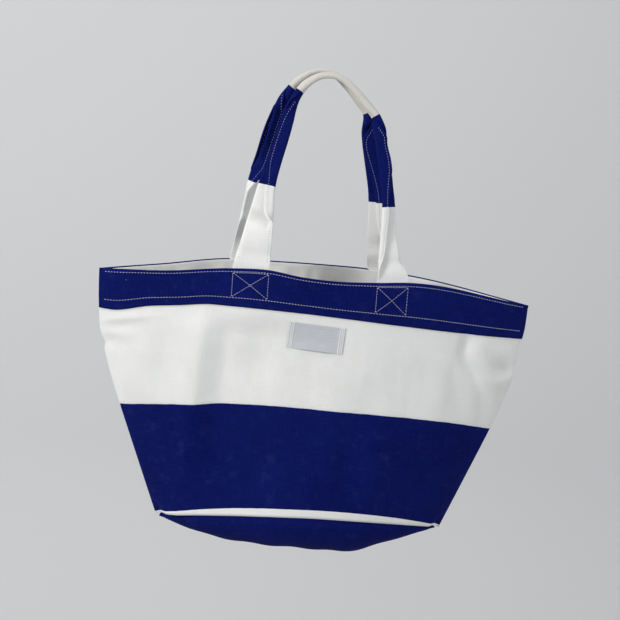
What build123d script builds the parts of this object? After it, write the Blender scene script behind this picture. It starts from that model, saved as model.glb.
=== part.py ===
"""Striped canvas tote bag, hanging by its two handles. Millimetres, +Z up.

The origin is the point where a hook bears on the underside of the two grips. The bag's front
faces -Y and +X is the right side of someone who looks at the front.
"""

import math
import os

from build123d import *

os.makedirs("parts", exist_ok=True)

# ---------------------------------------------------------------- driving dimensions
RIM_WIDTH = 480.0  # mouth, side seam to side seam
SHOULDER_WIDTH = 472.0  # the sides fall almost straight to here and then slant in to the base
SHOULDER_DROP = 86.0  # rim at the straps to that shoulder
RIM_DEPTH = 80.0  # mouth, front to back at its middle, as it hangs half open
BASE_WIDTH = 328.0  # base seam, corner to corner
BASE_DEPTH = 119.0  # base seam, front to back at its middle
PANEL_HEIGHT = 277.0  # rim at the straps to the base seam, straight down
BASE_SAG = 45.0  # how far the base hangs below its seam
CLOTH = 1.3  # one layer of heavy canvas
BAG_MIDDLE_X = 10.0  # the bag's middle plane, beside the hanging point

RIM_DROP_CORNER = 20.0  # the rim's ends hang this far below the rim at the straps
RIM_DROP_MIDDLE = 4.0  # and the rim between the straps this far
RIM_SLACK = 2.0  # the rim sags this far below a straight line from a strap to the side
FACING_HEIGHT = 43.0  # inner band that finishes the rim

STRAP_SPACING = 156.0  # one handle's two strap centres
STRAP_WIDTH = 38.0
STRAP_THICKNESS = 3.0  # the strap is a tube of cloth pressed flat
STRAP_END_LENGTH = 38.0  # sewn in between the panel and its facing
STRAP_END_THICKNESS = 1.6
STRAP_START = 8.0  # the moving strap starts this far above the rim
FOLD_RISE = 92.0  # rim to the height where the strap is folded in half
FOLD_WIDTH = 19.5
FOLD_THICKNESS = 6.4
CORNER_ROUNDING = 0.46  # rounding of a strap's edges, as a share of its thickness

GRIP_DIAMETER = 9.6
GRIP_CORD_DIAMETER = 5.6  # soft cotton cord that fills the grip
GRIP_GAP = 1.6  # between the two grips where they hang side by side
CROWN_HEIGHT = 214.0  # rim at the straps to the middle of the grip at its crown
LEFT_GRIP_RISE = 190.0  # rim to the lower end of the grip
RIGHT_GRIP_RISE = 174.0
LEFT_GRIP_X = -39.0  # the same ends, from the bag's middle plane
RIGHT_GRIP_X = 45.0
LEFT_SHOULDER = 15.0  # straight run of the grip above each leg
RIGHT_SHOULDER = 12.0
CROWN_PEAK = 7.5  # the corner that the crown's arc rounds off stands this far above it
SHOULDER_RADIUS = 14.0  # bends of the grip at its shoulders and over the hook
CROWN_RADIUS = 30.0

HINGE_OUT = 3.2  # the strap bends over the rim's outer edge, this far outside it
HINGE_UP = 2.0

LABEL_WIDTH = 62.0
LABEL_HEIGHT = 29.0
LABEL_THICKNESS = 0.6
LABEL_DROP = 22.0  # lower edge of the rim band to the label's middle
LABEL_STITCH_WIDTH = 6.5  # dense thread across each end of the label

THREAD = 0.7  # width of a row of sewing thread
THREAD_PROUD = 0.5  # how far the thread stands out of the cloth
TOP_ROW_DROP = 3.0  # rim to the upper row
LOWER_ROW_DROP = 33.0  # rim to the lower row
BOX_INSET = 1.0  # the crossed box lies this far inside the strap's edges and the two rows
EDGE_FALL = 1.5  # the rim's arc is steeper at a strap than its straight chord, by this ratio

BINDING_WIDTH = 9.0  # tape over the seam allowances inside the bag
BINDING_THICKNESS = 1.6
LAYER_GAP = 0.05  # between layers of cloth that lie on each other
SEAM_GAP = 0.4  # between a binding, or the end of the grip cord, and the cloth beside it
STRAP_EDGE_ROW = 3.0  # the strap's edge to its row of thread

# ---------------------------------------------------------------- places that follow from them
GRIP_RADIUS = GRIP_DIAMETER / 2
RIM_Z = GRIP_RADIUS - CROWN_HEIGHT
SHOULDER_Z = RIM_Z - SHOULDER_DROP
SEAM_Z = RIM_Z - PANEL_HEIGHT
CUT_MARGIN = 30.0  # cutting blocks reach this far past the cloth
GRIP_Y = GRIP_RADIUS + GRIP_GAP / 2
STRAP_END_INSET = CLOTH + LAYER_GAP
FACING_INSET = STRAP_END_INSET + STRAP_END_THICKNESS + LAYER_GAP


def half_sizes(height):
    """Half width and half depth of the bag's lens-shaped section at a height."""
    drop = RIM_Z - height
    if drop < SHOULDER_DROP:
        width = RIM_WIDTH + (SHOULDER_WIDTH - RIM_WIDTH) * drop / SHOULDER_DROP
    else:
        share = (drop - SHOULDER_DROP) / (PANEL_HEIGHT - SHOULDER_DROP)
        width = SHOULDER_WIDTH + (BASE_WIDTH - SHOULDER_WIDTH) * share
    depth = RIM_DEPTH + (BASE_DEPTH - RIM_DEPTH) * drop / PANEL_HEIGHT
    return width / 2, depth / 2


def inset_lens(half_width, half_depth, inset):
    """Half width and half depth of a lens whose two arcs are both moved in by inset."""
    radius = (half_width**2 + half_depth**2) / (2 * half_depth)
    return math.sqrt((radius - inset) ** 2 - (radius - half_depth) ** 2), half_depth - inset


def outside_y(height, from_middle):
    """Distance of the panels' outer face from the seam plane, at a height and a width."""
    half_width, half_depth = half_sizes(height)
    radius = (half_width**2 + half_depth**2) / (2 * half_depth)
    return math.sqrt(radius**2 - from_middle**2) - (radius - half_depth)


def lens_section(height, inset):
    """Pointed lens section of the bag at a height, moved in by inset."""
    width, depth = inset_lens(*half_sizes(height), inset)
    left = (BAG_MIDDLE_X - width, 0)
    right = (BAG_MIDDLE_X + width, 0)
    with BuildSketch(Plane.XY.offset(height)) as section:
        with BuildLine():
            ThreePointArc(left, (BAG_MIDDLE_X, -depth), right)
            ThreePointArc(right, (BAG_MIDDLE_X, depth), left)
        make_face()
    return section.sketch


def tapered_solid(inset):
    """Solid of lens section from above the rim down to the base seam."""
    sections = [lens_section(height, inset) for height in (RIM_Z + CUT_MARGIN, SHOULDER_Z, SEAM_Z)]
    with BuildPart() as solid:
        loft(sections, ruled=True)
    return solid.part


def tapered_shell(outer_inset, inner_inset):
    """Open tube of lens section between two insets from the panels' outer face."""
    outer = tapered_solid(outer_inset)
    inner = tapered_solid(inner_inset)
    with BuildPart() as shell:
        add(outer)
        add(inner, mode=Mode.SUBTRACT)
    return shell.part


def rim_wave(drop):
    """Seven points of the rim's wave, a drop below the rim: pulled up at the two straps."""
    corner = RIM_WIDTH / 2
    strap = STRAP_SPACING / 2
    slack = RIM_DROP_CORNER / 2 + RIM_SLACK
    heights = (RIM_DROP_CORNER, slack, 0, RIM_DROP_MIDDLE, 0, slack, RIM_DROP_CORNER)
    widths = (-corner, -(corner + strap) / 2, -strap, 0, strap, (corner + strap) / 2, corner)
    return [(BAG_MIDDLE_X + x, RIM_Z - below - drop) for x, below in zip(widths, heights)]


def wave_arcs(points):
    """Three arcs: from the side to a strap, across to the other strap and on to the other side."""
    for start in (0, 2, 4):
        ThreePointArc(*points[start : start + 3])


def rim_band(upper_drop, lower_drop):
    """Block between two copies of the rim's wave, each a drop below the rim."""
    upper = rim_wave(upper_drop)
    lower = rim_wave(lower_drop)
    with BuildPart() as band:
        with BuildSketch(Plane.XZ):
            with BuildLine():
                wave_arcs(upper)
                wave_arcs(lower)
                for way, end in ((1, -1), (-1, 0)):
                    (upper_x, upper_z), (lower_x, lower_z) = upper[end], lower[end]
                    reach_x = upper_x + way * CUT_MARGIN
                    Polyline((upper_x, upper_z), (reach_x, upper_z), (reach_x, lower_z), (lower_x, lower_z))
            make_face()
        extrude(amount=BASE_DEPTH, both=True)
    return band.part


def through_blocks(points, width, height):
    """Blocks of one size that run through the bag from front to back, at points of X and Z."""
    with BuildPart() as blocks:
        with BuildSketch(Plane.XZ):
            with Locations(*points):
                Rectangle(width, height)
        extrude(amount=BASE_DEPTH, both=True)
    return blocks.part


HALVES = {"front": Keep.TOP, "back": Keep.BOTTOM}  # Plane.XZ faces -Y, the bag's front
STRAP_XS = (BAG_MIDDLE_X - STRAP_SPACING / 2, BAG_MIDDLE_X + STRAP_SPACING / 2)
pieces = {}

# ---------------------------------------------------------------- front and back panels
panel_shell = tapered_shell(0, CLOTH)
panel_band = rim_band(0, PANEL_HEIGHT + BASE_SAG)

for side, half in HALVES.items():
    with BuildPart() as panel:
        add(panel_shell)
        add(panel_band, mode=Mode.INTERSECT)
        split(bisect_by=Plane.XZ, keep=half)
    pieces[f"{side}_panel"] = panel.part

# ---------------------------------------------------------------- base
# A boat-shaped piece. Its cross-sections are half ellipses, as wide as the seam.


def hull_solid(inset):
    """Lower half of a pointed spindle, squashed to the sag, moved in by inset."""
    width, depth = inset_lens(BASE_WIDTH / 2, BASE_DEPTH / 2, inset)
    with BuildPart() as spindle:
        with BuildSketch(Plane.XY):
            with BuildLine():
                ThreePointArc((-width, 0), (0, -depth), (width, 0))
                Line((width, 0), (-width, 0))
            make_face()
        revolve(axis=Axis.X, revolution_arc=180)
        scale(by=(1, 1, (BASE_SAG - inset) / depth))
    hull = spindle.part
    if hull.bounding_box().max.Z > BASE_SAG / 2:
        hull = mirror(hull, about=Plane.XY)
    return Pos(BAG_MIDDLE_X, 0, SEAM_Z - LAYER_GAP) * hull


outer_hull = hull_solid(0)
inner_hull = hull_solid(CLOTH)
with BuildPart() as base_panel:
    add(outer_hull)
    add(inner_hull, mode=Mode.SUBTRACT)
pieces["base_panel"] = base_panel.part

# ---------------------------------------------------------------- rim facings
facing_shell = tapered_shell(FACING_INSET, FACING_INSET + CLOTH)
facing_band = rim_band(0, FACING_HEIGHT)

for side, half in HALVES.items():
    with BuildPart() as facing:
        add(facing_shell)
        add(facing_band, mode=Mode.INTERSECT)
        split(bisect_by=Plane.XZ, keep=half)
    pieces[f"{side}_rim_facing"] = facing.part

# ---------------------------------------------------------------- sewn-in ends of the straps
strap_end_shell = tapered_shell(STRAP_END_INSET, STRAP_END_INSET + STRAP_END_THICKNESS)
end_middle_z = RIM_Z + HINGE_UP - STRAP_END_LENGTH / 2
end_blocks = through_blocks([(x, end_middle_z) for x in STRAP_XS], STRAP_WIDTH, STRAP_END_LENGTH)

for side, half in HALVES.items():
    with BuildPart() as strap_ends:
        add(strap_end_shell)
        add(end_blocks, mode=Mode.INTERSECT)
        split(bisect_by=Plane.XZ, keep=half)
    pieces[f"{side}_strap_ends"] = strap_ends.part

# ---------------------------------------------------------------- rows of thread round the rim
thread_shell = tapered_shell(-LAYER_GAP - THREAD_PROUD, -LAYER_GAP)

for name, drop in (("rim_top_stitching", TOP_ROW_DROP), ("rim_lower_stitching", LOWER_ROW_DROP)):
    row_band = rim_band(drop, drop + THREAD)
    with BuildPart() as row:
        add(thread_shell)
        add(row_band, mode=Mode.INTERSECT)
    pieces[name] = row.part

# ---------------------------------------------------------------- crossed boxes under the straps
box_width = STRAP_WIDTH - 2 * BOX_INSET
edge_drop = EDGE_FALL * RIM_DROP_CORNER * STRAP_WIDTH / (RIM_WIDTH - STRAP_SPACING)
box_top = RIM_Z - TOP_ROW_DROP - THREAD - BOX_INSET - edge_drop
box_bottom = RIM_Z - LOWER_ROW_DROP + BOX_INSET
box_height = box_top - box_bottom
diagonal = math.hypot(box_width, box_height) - THREAD
slope = math.degrees(math.atan2(box_height, box_width))


def box_lines():
    """Four sides and two diagonals of thread under each strap, cut right through the bag."""
    with BuildPart() as lines:
        with BuildSketch(Plane.XZ):
            with Locations(*[(x, (box_top + box_bottom) / 2) for x in STRAP_XS]):
                Rectangle(box_width, box_height)
                Rectangle(box_width - 2 * THREAD, box_height - 2 * THREAD, mode=Mode.SUBTRACT)
                Rectangle(diagonal, THREAD, rotation=slope)
                Rectangle(diagonal, THREAD, rotation=-slope)
        extrude(amount=BASE_DEPTH, both=True)
    return lines.part


crossed_lines = box_lines()
for side, half in HALVES.items():
    with BuildPart() as box_thread:
        add(thread_shell)
        add(crossed_lines, mode=Mode.INTERSECT)
        split(bisect_by=Plane.XZ, keep=half)
    pieces[f"{side}_box_stitching"] = box_thread.part

# ---------------------------------------------------------------- label and its thread
label_z = RIM_Z - RIM_DROP_MIDDLE - FACING_HEIGHT - LABEL_DROP
label_shell = tapered_shell(-LAYER_GAP - LABEL_THICKNESS, -LAYER_GAP)
label_block = through_blocks([(BAG_MIDDLE_X, label_z)], LABEL_WIDTH, LABEL_HEIGHT)
with BuildPart() as label:
    add(label_shell)
    add(label_block, mode=Mode.INTERSECT)
    split(bisect_by=Plane.XZ, keep=HALVES["front"])
pieces["label"] = label.part

label_face = -2 * LAYER_GAP - LABEL_THICKNESS
label_thread_shell = tapered_shell(label_face - THREAD_PROUD, label_face)
strip_offset = (LABEL_WIDTH - LABEL_STITCH_WIDTH) / 2
strip_points = [(BAG_MIDDLE_X + way * strip_offset, label_z) for way in (-1, 1)]
strip_blocks = through_blocks(strip_points, LABEL_STITCH_WIDTH, LABEL_HEIGHT)
with BuildPart() as label_stitching:
    add(label_thread_shell)
    add(strip_blocks, mode=Mode.INTERSECT)
    split(bisect_by=Plane.XZ, keep=HALVES["front"])
pieces["label_stitching"] = label_stitching.part

# ---------------------------------------------------------------- bindings over the inner seams
binding_inset = CLOTH + SEAM_GAP + BINDING_THICKNESS / 2
side_top = RIM_Z - RIM_DROP_CORNER - FACING_HEIGHT - SEAM_GAP
side_bottom = SEAM_Z + BINDING_WIDTH + 2 * SEAM_GAP

for name, way in (("left_seam_binding", -1), ("right_seam_binding", 1)):
    heights = (side_top, min(SHOULDER_Z, side_top - SEAM_GAP), side_bottom)
    edge_xs = [inset_lens(*half_sizes(z), binding_inset)[0] for z in heights]
    outer_edge = [(BAG_MIDDLE_X + way * x, z) for x, z in zip(edge_xs, heights)]
    inner_edge = [(BAG_MIDDLE_X + way * (x - BINDING_WIDTH), z) for x, z in zip(edge_xs, heights)]
    with BuildPart() as side_binding:
        with BuildSketch(Plane.XZ):
            with BuildLine():
                Polyline(*outer_edge, *reversed(inner_edge), close=True)
            make_face()
        extrude(amount=BINDING_THICKNESS / 2, both=True)
    pieces[name] = side_binding.part

ring_shell = tapered_shell(CLOTH + LAYER_GAP, CLOTH + LAYER_GAP + BINDING_THICKNESS)
with BuildPart() as base_binding:
    add(ring_shell)
    split(bisect_by=Plane.XY.offset(SEAM_Z + SEAM_GAP), keep=Keep.TOP)
    split(bisect_by=Plane.XY.offset(SEAM_Z + BINDING_WIDTH), keep=Keep.BOTTOM)
pieces["base_seam_binding"] = base_binding.part

# ---------------------------------------------------------------- handles
# A handle lies in its own plane, which leans in from the rim to the crown. In that plane u runs
# to the right from the bag's middle and v runs up from the rim.
strap_y = outside_y(RIM_Z, STRAP_SPACING / 2) - STRAP_END_INSET - STRAP_END_THICKNESS / 2
hinge_y = outside_y(RIM_Z, STRAP_SPACING / 2) + HINGE_OUT
hinge_z = RIM_Z + HINGE_UP
plane_height = math.hypot(CROWN_HEIGHT, strap_y - GRIP_Y)
crown_x = -BAG_MIDDLE_X
SIDES = (
    (-STRAP_SPACING / 2, LEFT_GRIP_X, LEFT_GRIP_RISE, LEFT_SHOULDER),
    (STRAP_SPACING / 2, RIGHT_GRIP_X, RIGHT_GRIP_RISE, RIGHT_SHOULDER),
)


def leg_point(strap_u, grip_u, grip_v, v):
    """Point of a leg's middle line at height v."""
    return (strap_u + (grip_u - strap_u) * v / grip_v, v)


def handle_plane(way):
    """Plane of a handle, way -1 for the front one: x to the right, y up the leg, z forwards."""
    up = Vector(0, -way * (strap_y - GRIP_Y), CROWN_HEIGHT).normalized()
    x_direction = Vector(1, 0, 0)
    return Plane(origin=(BAG_MIDDLE_X, way * strap_y, RIM_Z), x_dir=x_direction, z_dir=x_direction.cross(up))


def station(plane, side, v, grip_end=False):
    """Plane square to a leg at height v, with x across the strap and y through its thickness."""
    strap_u, grip_u, grip_v, _ = side
    u, _ = leg_point(strap_u, grip_u, grip_v, v)
    along = Vector(grip_u - strap_u, grip_v, 0).normalized()
    across = Vector(along.Y, -along.X, 0)
    origin = plane.from_local_coords(Vector(u, v, 0))
    z_direction = plane.from_local_coords(along) - plane.origin
    x_direction = plane.from_local_coords(across) - plane.origin
    return Plane(origin=origin, x_dir=x_direction, z_dir=z_direction)


def grip_path(plane, trim=0.0):
    """Middle line of the grip: up from both legs, over two shoulders and the crown."""
    corners = []
    for strap_u, grip_u, grip_v, shoulder in SIDES:
        end = leg_point(strap_u, grip_u, grip_v, grip_v + trim)
        bend = leg_point(strap_u, grip_u, grip_v, grip_v + shoulder)
        corners.append((end, bend))
    (left_end, left_bend), (right_end, right_bend) = corners
    crown = (crown_x, plane_height + CROWN_PEAK)
    with BuildLine(plane) as line:
        FilletPolyline(
            left_end,
            left_bend,
            crown,
            right_bend,
            right_end,
            radius=[SHOULDER_RADIUS, CROWN_RADIUS, SHOULDER_RADIUS],
        )
    return line.line


def leg_solid(plane, side):
    """One strap: flat at the rim, folded in half higher up and round where the grip starts."""
    sizes = (
        (STRAP_START, STRAP_WIDTH, STRAP_THICKNESS),
        (FOLD_RISE, FOLD_WIDTH, FOLD_THICKNESS),
        (side[2], GRIP_DIAMETER, GRIP_DIAMETER),
    )
    sections = []
    for v, width, thickness in sizes:
        with BuildSketch(station(plane, side, v)) as section:
            RectangleRounded(width, thickness, CORNER_ROUNDING * thickness)
        sections.append(section.sketch)
    with BuildPart() as leg:
        loft(sections, ruled=True)
    return leg.part


def edge_rows(plane, side, way):
    """Two rows of thread down a strap, near its edges, on the face that looks out of the bag."""
    upper_edge = FOLD_WIDTH / 2 - STRAP_EDGE_ROW
    lower_edge = STRAP_WIDTH / 2 - STRAP_EDGE_ROW
    proud = LAYER_GAP + THREAD / 2
    lower = station(plane, side, STRAP_START)
    upper = station(plane, side, FOLD_RISE)
    out = 1 if (lower.from_local_coords(Vector(0, 1, 0)) - lower.origin).Y * way > 0 else -1
    rows = []
    for edge in (-1, 1):
        start = lower.from_local_coords(Vector(edge * lower_edge, out * (STRAP_THICKNESS / 2 + proud), 0))
        end = upper.from_local_coords(Vector(edge * upper_edge, out * (FOLD_THICKNESS / 2 + proud), 0))
        with BuildPart() as thread_row:
            with BuildSketch(Plane(origin=start, z_dir=end - start)):
                Circle(THREAD / 2)
            extrude(amount=(end - start).length)
        rows.append(thread_row.part)
    return rows


for side_name, way in (("front", -1), ("back", 1)):
    plane = handle_plane(way)
    path = grip_path(plane)
    cord_path = grip_path(plane, trim=SEAM_GAP)
    legs = [leg_solid(plane, side) for side in SIDES]
    with BuildPart() as grip_tube:
        with BuildSketch(Plane(origin=path @ 0, z_dir=path % 0)):
            Circle(GRIP_RADIUS)
            Circle(GRIP_CORD_DIAMETER / 2 + LAYER_GAP, mode=Mode.SUBTRACT)
        sweep(path=path)
    with BuildPart() as handle:
        add(grip_tube.part)
        for leg in legs:
            add(leg)
    pieces[f"{side_name}_handle"] = handle.part

    with BuildPart() as grip_cord:
        with BuildSketch(Plane(origin=cord_path @ 0, z_dir=cord_path % 0)):
            Circle(GRIP_CORD_DIAMETER / 2)
        sweep(path=cord_path)
    pieces[f"{side_name}_grip_cord"] = grip_cord.part

    threads = [row for side in SIDES for row in edge_rows(plane, side, way)]
    with BuildPart() as handle_stitching:
        for thread_row in threads:
            add(thread_row)
    pieces[f"{side_name}_handle_stitching"] = handle_stitching.part

# ---------------------------------------------------------------- write one file for each piece
for name, piece in pieces.items():
    piece.label = name
    export_step(piece, f"parts/{name}.step")
    print(f"{name:24s} solids {len(piece.solids())}  volume {piece.volume / 1000:.2f} cm3")

print("handle hinge, metres:", round(hinge_y / 1000, 5), round(hinge_z / 1000, 5))
print("rim", RIM_Z, "base seam", SEAM_Z, "strap y", round(strap_y, 2))
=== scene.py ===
# %% [markdown]
# # A striped canvas tote bag, hanging by its two handles
# Nearly everything here is cloth: two panels, a boat-shaped base, an inner band round the rim and
# two long straps. Each piece is a surface worked out with numpy as whole grids of points, because
# a sewn cloth follows a few smooth lines (rim, hem, seams), and a fold is a small change to them.

import bmesh
import bpy
import numpy as np
from mathutils import Matrix, Vector


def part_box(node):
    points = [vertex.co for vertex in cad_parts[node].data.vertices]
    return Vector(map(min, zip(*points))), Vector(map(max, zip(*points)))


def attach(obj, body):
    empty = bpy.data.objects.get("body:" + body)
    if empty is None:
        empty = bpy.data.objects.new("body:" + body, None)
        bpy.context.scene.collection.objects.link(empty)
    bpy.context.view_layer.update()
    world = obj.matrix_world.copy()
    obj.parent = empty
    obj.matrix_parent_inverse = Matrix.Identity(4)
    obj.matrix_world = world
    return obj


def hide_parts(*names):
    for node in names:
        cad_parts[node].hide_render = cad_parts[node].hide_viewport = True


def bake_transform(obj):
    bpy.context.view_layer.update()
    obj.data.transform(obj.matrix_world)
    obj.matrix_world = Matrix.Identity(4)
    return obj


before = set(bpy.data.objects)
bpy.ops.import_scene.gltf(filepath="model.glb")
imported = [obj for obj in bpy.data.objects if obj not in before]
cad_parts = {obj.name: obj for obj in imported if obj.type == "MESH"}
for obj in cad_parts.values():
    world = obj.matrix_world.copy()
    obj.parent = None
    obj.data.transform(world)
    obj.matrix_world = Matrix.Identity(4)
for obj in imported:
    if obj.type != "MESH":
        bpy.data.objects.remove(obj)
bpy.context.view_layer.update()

# %% [markdown]
# The bag has its own coordinates, in millimetres: x from the bag's middle plane, y towards the
# back, z up from the rim at the straps. They are easier to think in than metres from the hanging
# point. `to_frame` turns them into the shared frame, and its two offsets come from the CAD panel.

# %% The bag's own coordinates
panel_low, panel_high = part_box("front_panel")
ORIGIN = np.array([500 * (panel_low.x + panel_high.x), 0.0, 1000 * panel_high.z])


def to_frame(points):
    """Millimetres in the bag's coordinates to metres in the shared frame."""
    return (np.asarray(points, float) + ORIGIN) / 1000


def line_through(x, stations):
    """Smooth line through stations (x, height): a cubic between neighbours, which leaves each
    station at the mean slope of its surroundings."""
    sx, sy = np.array(stations, float).T
    slope = np.gradient(sy, sx)
    i = np.clip(np.searchsorted(sx, x) - 1, 0, len(sx) - 2)
    step = sx[i + 1] - sx[i]
    t = np.clip((x - sx[i]) / step, 0, 1)
    ends = (1 + 2 * t) * (1 - t) ** 2 * sy[i] + t * t * (3 - 2 * t) * sy[i + 1]
    return ends + step * t * (1 - t) * ((1 - t) * slope[i] - t * slope[i + 1])


def ramp(x, start, end):
    """0 before start, 1 after end and a smooth S between."""
    t = np.clip((x - start) / (end - start), 0, 1)
    return t * t * (3 - 2 * t)


def hill(distance, width):
    """Bell of height 1 whose flanks fall away over width."""
    return np.exp(-((distance / width) ** 2))


print("origin of the bag's coordinates", ORIGIN)

# %% [markdown]
# ## Camera
# The camera looks slightly down at the bag and is tilted a little, so the bag's right side hangs
# lower in the view.

# %% Camera
camera_data = bpy.data.cameras.new("camera")
camera = bpy.data.objects.new("camera", camera_data)
bpy.context.scene.collection.objects.link(camera)
bpy.context.scene.camera = camera
camera_place = Vector((-0.1479, -1.3717, -0.0192))
forward = Vector((0.10817, 0.97975, -0.16849)).normalized()
level_right = forward.cross(Vector((0, 0, 1))).normalized()
level_up = level_right.cross(forward)
TILT = np.radians(4.9)
right = float(np.cos(TILT)) * level_right + float(np.sin(TILT)) * level_up
up = right.cross(forward)
camera.matrix_world = Matrix(
    [(right[i], up[i], -forward[i], camera_place[i]) for i in range(3)] + [(0, 0, 0, 1)]
)
camera_data.sensor_width = 36
camera_data.lens = 72.5
camera_data.clip_start = 0.05

# %% [markdown]
# Every surface goes through one function: it takes a grid of points, joins neighbours with faces,
# and stores where each corner lies on the flat cloth, in metres, as the UV map. A weave or a
# stripe that reads this map follows the cloth round every fold.

# %% From a grid of points to a mesh
def mesh_object(name, points, faces, face_uv=None):
    """Object whose mesh has these points (millimetres) and this list of faces, smooth shaded."""
    mesh = bpy.data.meshes.new(name)
    mesh.from_pydata(to_frame(points).tolist(), [], faces)
    if face_uv is not None:
        layer = mesh.uv_layers.new(name="cloth")
        layer.data.foreach_set("uv", face_uv.astype(np.float32).ravel())
    mesh.polygons.foreach_set("use_smooth", np.ones(len(faces), bool))
    mesh.update()
    made = bpy.data.objects.new(name, mesh)
    bpy.context.scene.collection.objects.link(made)
    return made


def grid_faces(rows, columns, loop=False):
    """Quads of a grid, turned so that they face up when columns run right and rows run up. With
    loop, the last column joins the first."""
    index = np.arange(rows * columns).reshape(rows, columns)
    if loop:
        index = np.hstack([index, index[:, :1]])
    corners = (index[:-1, :-1], index[:-1, 1:], index[1:, 1:], index[1:, :-1])
    return np.stack(corners, -1).reshape(-1, 4)


def grid_object(name, points, cloth, flip=False):
    """Sheet from a (rows, columns, 3) grid of millimetres and a (rows, columns, 2) grid of places
    on the flat cloth in millimetres."""
    rows, columns = points.shape[:2]
    faces = grid_faces(rows, columns)
    if flip:
        faces = faces[:, ::-1]
    uv = cloth.reshape(-1, 2)[faces.ravel()] / 1000
    made = mesh_object(name, points.reshape(-1, 3), faces.tolist(), uv)
    print(name, len(faces), "faces")
    return made


def thicken(piece, thickness, rounding=0.0):
    """Solidify a sheet away from its face, and round its edges."""
    solid = piece.modifiers.new("thickness", "SOLIDIFY")
    solid.thickness = thickness / 1000
    solid.offset = -1
    solid.use_even_offset = False
    if rounding:
        bevel = piece.modifiers.new("rounding", "BEVEL")
        bevel.width = rounding / 1000
        bevel.segments = 2
        bevel.limit_method = "ANGLE"
        bevel.angle_limit = np.radians(60)
    return piece


# %% [markdown]
# ## The shape of the body
# Seen from above, the bag is a pointed lens: the two panels meet in the side seams and bow apart
# between them. Going down, the lens gets narrower and deeper until the base seam. Four lines run
# across each panel: the rim, the hem band's lower edge, the top of the lower band and the thin
# stripe's top. They are not level, because the bag hangs from four straps and sags between them,
# so each line is given by a few heights.

# %% Lines across the panels: place across the panel from -1 to 1, height in millimetres
RIM = {
    -1: [
        *((-1, -14.5), (-0.7, -9.3), (-0.41, -0.3), (-0.24, 1.0), (-0.1, -3.6)),
        *((0.03, -5.6), (0.25, -4.6), (0.4, -2.6), (1, -23.5)),
    ],
    1: [
        *((-1, -14.5), (-0.72, -7.4), (-0.42, 1.8), (-0.2, 1.8), (0.07, 1.6)),
        *((0.23, 1.0), (0.46, -3.2), (1, -23.5)),
    ],
}
HEM = [
    *((-1, -58.5), (-0.94, -59), (-0.77, -50), (-0.62, -45), (-0.51, -41.2), (-0.4, -41.2)),
    *((-0.09, -43), (0.375, -50.6), (0.675, -56.7), (1, -63)),
]
BAND = [
    *((-1, -166), (-0.57, -152.5), (-0.06, -147.5), (0.2, -149.5)),
    *((0.47, -153.5), (0.75, -160.5), (1, -170.5)),
]
HEM_AT, BAND_AT, STRIPE_AT = 43.0, 153.0, 262.0  # the same lines, down the cloth from the rim
PANEL_HALF = 241.3  # half width of the flat panel at the rim


def stripe_line(u):
    """Top of the thin white stripe: 260 mm down, and 30 mm lower at the sides."""
    return -260 - 30 * u**2


def seam_line(u):
    """Seam between panel and base: 270 mm down, and 22 mm lower at the corners."""
    return -270 - 22 * np.abs(u) ** 1.8


def cloth_end(u):
    """How far down the cloth the base seam lies."""
    return STRIPE_AT + stripe_line(u) - seam_line(u)


def cloth_height(u, v, side):
    """Height of the point u across and v down the cloth: between two lines it changes evenly."""
    rim = line_through(u, RIM[side])
    hem = line_through(u, HEM)
    band = line_through(u, BAND)
    stripe = stripe_line(u)
    height = rim + (hem - rim) * v / HEM_AT
    height = np.where(v > HEM_AT, hem + (band - hem) * (v - HEM_AT) / (BAND_AT - HEM_AT), height)
    height = np.where(v > BAND_AT, band + (stripe - band) * (v - BAND_AT) / (STRIPE_AT - BAND_AT), height)
    return np.where(v > STRIPE_AT, stripe - (v - STRIPE_AT), height)


def half_width(z, u):
    """Half width of the lens: straight down from the rim, then slanting in, with a soft corner."""
    straight, corner = 242.0, 9.0
    slant = 165.9 + 1.4 * u + (0.389 + 0.008 * u) * (289 + z)
    return -corner * np.log(np.exp(-straight / corner) + np.exp(-slant / corner))


def half_depth(z):
    """Half depth of the lens at its middle: 38.4 at the rim, 58 at the base seam."""
    return 38.4 + 19.6 * np.clip(-z / 277, 0, 1.2)


TIP = 1.7  # the side seams are this far from a sharp edge


def plain_body(u, z, side):
    """Lens without folds. Its outline is a parabola with a small round tip at each side seam."""
    x = u * half_width(z, u)
    y = half_depth(z) * (1 - u**2) + TIP * np.sqrt(np.clip(1 - np.abs(u) ** 24, 0, 1))
    y = y * (1 - 0.85 * ramp(np.abs(u), 0.9, 0.965) * ramp(-z, 270, 288))
    return x, side * np.maximum(y, 0.1)


# %% [markdown]
# ## Folds
# A hanging bag is never smooth. A long soft ridge runs down from the hem on the left, where the
# flat front turns towards the side. Another fold runs down on the right. Both sides are nipped in
# a little under the stiff hem band, and the white canvas has slow waves all over it.

# %% Folds of the front and the back
def waves(x, z, seed, count=9, smallest=28.0, largest=90.0):
    """Sum of a few long sine waves in random directions: the slow buckles of heavy cloth."""
    random = np.random.default_rng(seed)
    total = np.zeros_like(x)
    for _ in range(count):
        length = random.uniform(smallest, largest)
        angle = random.uniform(0, np.pi)
        phase = random.uniform(0, 2 * np.pi)
        along = x * np.cos(angle) + z * np.sin(angle) * 0.8
        total += np.sin(2 * np.pi * along / length + phase) * length / largest
    return total / np.sqrt(count)


def soft_corner(distance, rounding, reach):
    """Ridge with a rounded crest: height 1 on its line, falling away over reach."""
    return np.exp(-(np.sqrt(distance**2 + rounding**2) - rounding) / reach)


# Course of the fold on the right: depth below the rim, distance from the bag's middle
VALLEY = [(50, 170), (66, 170), (84, 170), (105, 183), (123, 193), (160, 198), (300, 190)]


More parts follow.
